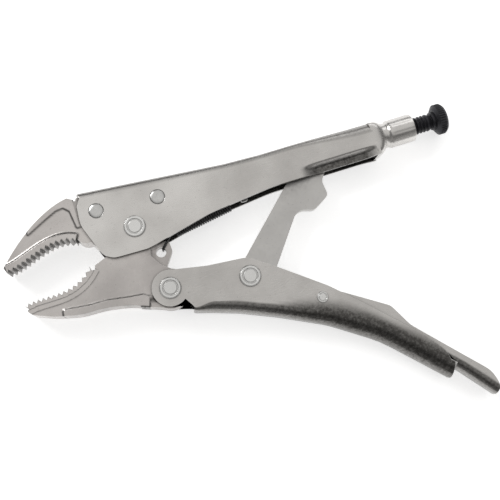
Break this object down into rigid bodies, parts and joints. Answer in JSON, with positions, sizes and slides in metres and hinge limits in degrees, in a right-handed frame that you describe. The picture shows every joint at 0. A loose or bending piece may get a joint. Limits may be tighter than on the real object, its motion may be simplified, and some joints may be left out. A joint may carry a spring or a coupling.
{
  "type": "locking pliers",
  "caption": "Curved-jaw locking pliers with wire-cutter throat, toggle link, release lever and knurled adjusting screw, shown open.",
  "frame": {"origin": "axis of the jaw pivot, on the flat of its far rivet head, which is the face the tool lies on", "axes": "+Z along the pivots and up out of the surface the tool lies on, +X along the adjusting screw towards its knob with the jaws at -X, +Y towards the back of the upper handle"},
  "size_m": [0.2517, 0.1678, 0.019],
  "materials": {
    "plated_sheet": "satin nickel plate",
    "forged_jaw": "satin plate over a forging",
    "blanked_link": "satin plate over blanked steel",
    "rivet_steel": "turned and plated",
    "plated_turned": "turned",
    "black_oxide": "black oxide",
    "black_spring": "oiled black spring wire"
  },
  "bodies": {
    "root": {"upper_handle": "plated_sheet", "screw_bush": "plated_turned", "upper_jaw": "forged_jaw", "front_jaw_rivet": "rivet_steel", "rear_jaw_rivet": "rivet_steel", "jaw_pivot_rivet": "rivet_steel", "spring_anchor": "plated_turned", "return_spring": "black_spring"},
    "lower_jaw": {"lower_jaw": "forged_jaw"},
    "lower_handle": {"lower_handle": "plated_sheet", "handle_pivot_rivet": "rivet_steel", "link_pivot_rivet": "rivet_steel", "release_lever_rivet": "rivet_steel", "link_spacers": "plated_turned"},
    "toggle_link": {"toggle_link": "blanked_link"},
    "release_lever": {"release_lever": "plated_sheet"},
    "screw": {"adjusting_screw": "black_oxide"},
    "knob": {"adjusting_knob": "black_oxide"}
  },
  "joints": [
    {"name": "jaw_close", "type": "hinge", "parent": "root", "child": "lower_jaw", "pos_m": [0, 0, 0.0095], "axis": [0, 0, -1], "range_deg": [0, 15.2], "stiffness_Nm_per_rad": 0.3, "springref_deg": -17.19, "deforming": ["return_spring"]},
    {"name": "handle_close", "type": "hinge", "parent": "lower_jaw", "child": "lower_handle", "pos_m": [0.0079, -0.0365, 0.0095], "axis": [0, 0, 1], "range_deg": [0, 43.62]},
    {"name": "link_fold", "type": "hinge", "parent": "lower_handle", "child": "toggle_link", "pos_m": [0.0493, -0.0432, 0.0095], "axis": [0, 0, -1], "range_deg": [0, 43.9]},
    {"name": "lever_press", "type": "hinge", "parent": "lower_handle", "child": "release_lever", "pos_m": [0.0819, -0.0653, 0.0095], "axis": [0, 0, 1], "range_deg": [0, 12]},
    {"name": "screw_travel", "type": "slide", "parent": "root", "child": "screw", "axis": [1, 0, 0], "range_m": [0, 0.012]},
    {"name": "knob_turn", "type": "hinge", "parent": "screw", "child": "knob", "pos_m": [0.175, 0.0095, 0.0095], "axis": [1, 0, 0], "range_deg": [0, 2160]}
  ],
  "couplings": [
    {"joint": "handle_close", "follows": "jaw_close", "ratio": 2.8695},
    {"joint": "link_fold", "follows": "jaw_close", "ratio": 2.8879},
    {"joint": "knob_turn", "follows": "screw_travel", "rad_per_m": 3141.6}
  ]
}
